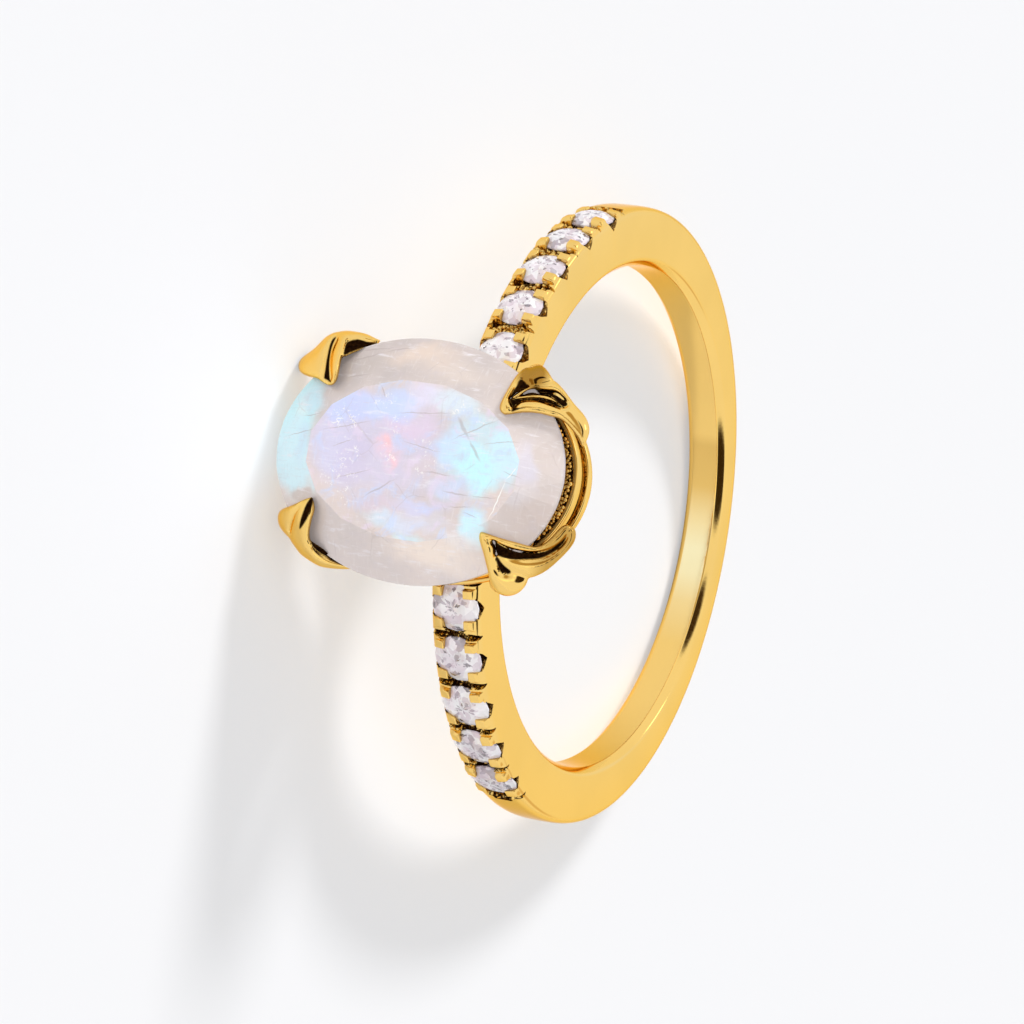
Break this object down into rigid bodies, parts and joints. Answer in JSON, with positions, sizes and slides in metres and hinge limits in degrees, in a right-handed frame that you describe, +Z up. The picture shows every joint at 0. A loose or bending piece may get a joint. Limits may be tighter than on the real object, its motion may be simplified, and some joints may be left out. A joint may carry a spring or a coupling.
{
  "type": "moonstone ring",
  "caption": "Slim polished gold ring lying on its side, with an oval faceted moonstone in a petal-prong basket head and small round stones on both shoulders.",
  "frame": {"origin": "centre of the bounding box at the surface the ring lies on, in millimetres in the source and metres here", "axes": "+Z up from that surface; -Y towards the moonstone, +Y towards the back of the band; X across the band. The finger axis leans 11.9 degrees from +Z towards +Y, because the two lower prongs lift the head."},
  "size_m": [0.0212, 0.0247, 0.0107],
  "materials": {
    "gold": "mirror-polished yellow gold plate",
    "moonstone": "translucent milky stone with a blue sheen, polished facets",
    "accent_stone": "clear colourless brilliant cut"
  },
  "bodies": {
    "root": {"ring_mount": "gold", "moonstone": "moonstone", "accent_stone_1": "accent_stone", "accent_stone_2": "accent_stone", "accent_stone_3": "accent_stone", "accent_stone_4": "accent_stone", "accent_stone_5": "accent_stone", "accent_stone_6": "accent_stone", "accent_stone_7": "accent_stone", "accent_stone_8": "accent_stone", "accent_stone_9": "accent_stone", "accent_stone_10": "accent_stone"}
  },
  "joints": []
}
